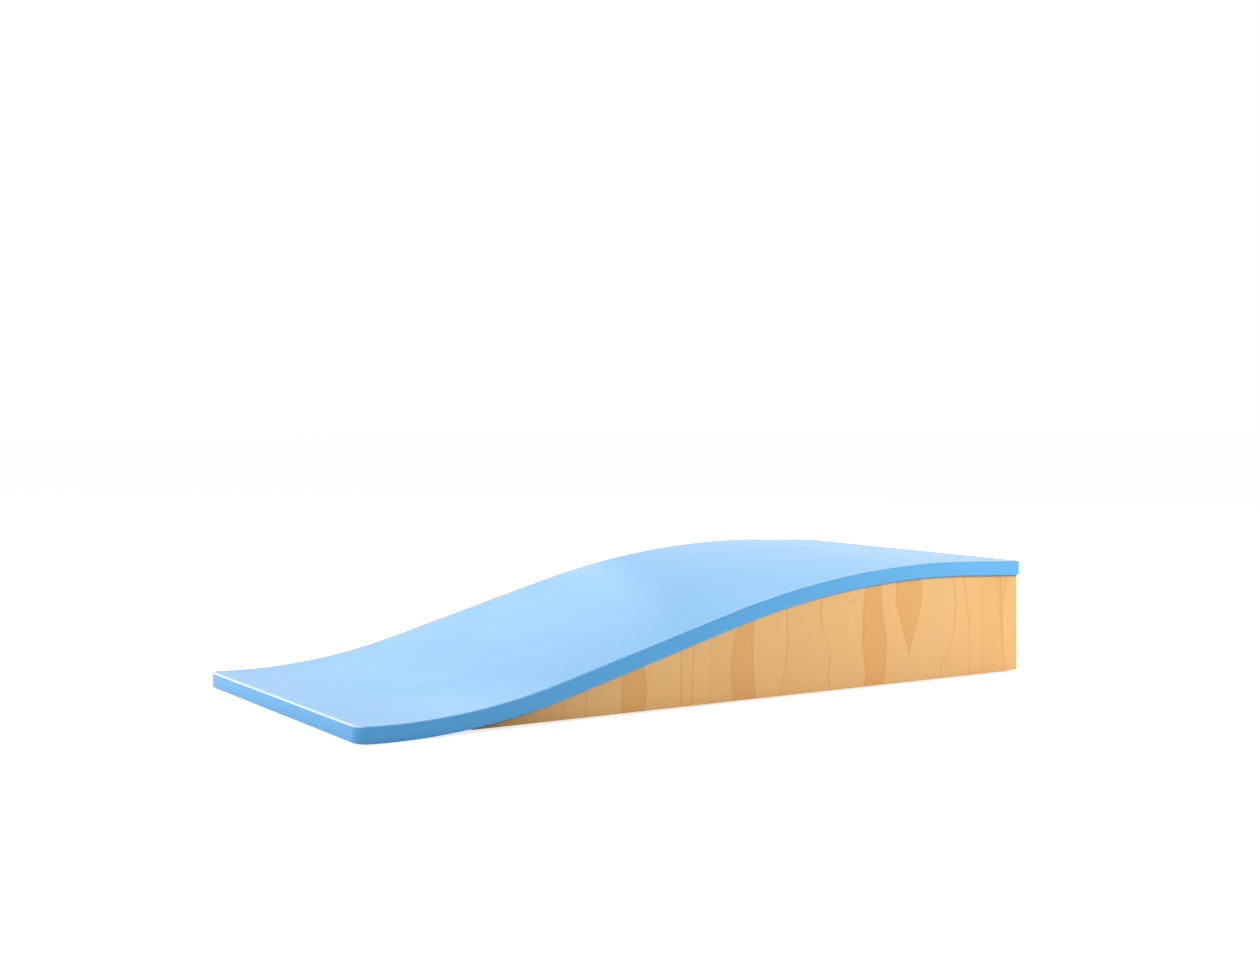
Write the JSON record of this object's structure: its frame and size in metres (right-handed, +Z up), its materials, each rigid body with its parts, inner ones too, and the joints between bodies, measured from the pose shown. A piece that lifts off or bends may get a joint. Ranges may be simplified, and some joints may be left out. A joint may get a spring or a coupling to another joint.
{
  "type": "transfer board",
  "caption": "S-curved slide board on a hollow plywood wedge, for sliding a person from a low surface up to a higher one and back.",
  "frame": {"origin": "on the floor, at the centre of the footprint", "axes": "+X along the board towards its high end, -Y towards the near side, +Z up"},
  "size_m": [0.75, 0.36, 0.12],
  "materials": {
    "blue_board": "smooth satin sheet plastic, pale blue",
    "birch_plywood": "clear matt lacquer on pale plywood, face grain upright on the cheeks, plies showing on cut edges",
    "hardwood": "planed beech, unfinished",
    "zinced_steel": "bright zinc plate",
    "black_rubber": "matt moulded rubber"
  },
  "bodies": {
    "root": {"transfer_board": "blue_board", "grip_strip": "black_rubber", "side_panel_near": "birch_plywood", "side_panel_far": "birch_plywood", "rib_1": "birch_plywood", "rib_2": "birch_plywood", "rib_3": "birch_plywood", "end_panel": "birch_plywood", "base_panel": "birch_plywood", "toe_wedge": "hardwood", "dowel_near_1": "hardwood", "dowel_near_2": "hardwood", "dowel_near_3": "hardwood", "dowel_near_4": "hardwood", "dowel_near_5": "hardwood", "dowel_near_6": "hardwood", "dowel_near_7": "hardwood", "dowel_near_8": "hardwood", "fixing_block_near_1": "hardwood", "board_screw_near_1": "zinced_steel", "fixing_block_near_2": "hardwood", "board_screw_near_2": "zinced_steel", "fixing_block_near_3": "hardwood", "board_screw_near_3": "zinced_steel", "dowel_far_1": "hardwood", "dowel_far_2": "hardwood", "dowel_far_3": "hardwood", "dowel_far_4": "hardwood", "dowel_far_5": "hardwood", "dowel_far_6": "hardwood", "dowel_far_7": "hardwood", "dowel_far_8": "hardwood", "fixing_block_far_1": "hardwood", "board_screw_far_1": "zinced_steel", "fixing_block_far_2": "hardwood", "board_screw_far_2": "zinced_steel", "fixing_block_far_3": "hardwood", "board_screw_far_3": "zinced_steel", "toe_screw_1": "zinced_steel", "toe_screw_2": "zinced_steel", "toe_screw_3": "zinced_steel", "base_screw_1": "zinced_steel", "base_screw_2": "zinced_steel", "base_screw_3": "zinced_steel", "base_screw_4": "zinced_steel", "base_screw_5": "zinced_steel", "base_screw_6": "zinced_steel", "base_screw_7": "zinced_steel", "base_screw_8": "zinced_steel", "foot_1": "black_rubber", "foot_2": "black_rubber", "foot_3": "black_rubber", "foot_4": "black_rubber", "foot_5": "black_rubber", "foot_6": "black_rubber"}
  },
  "joints": []
}
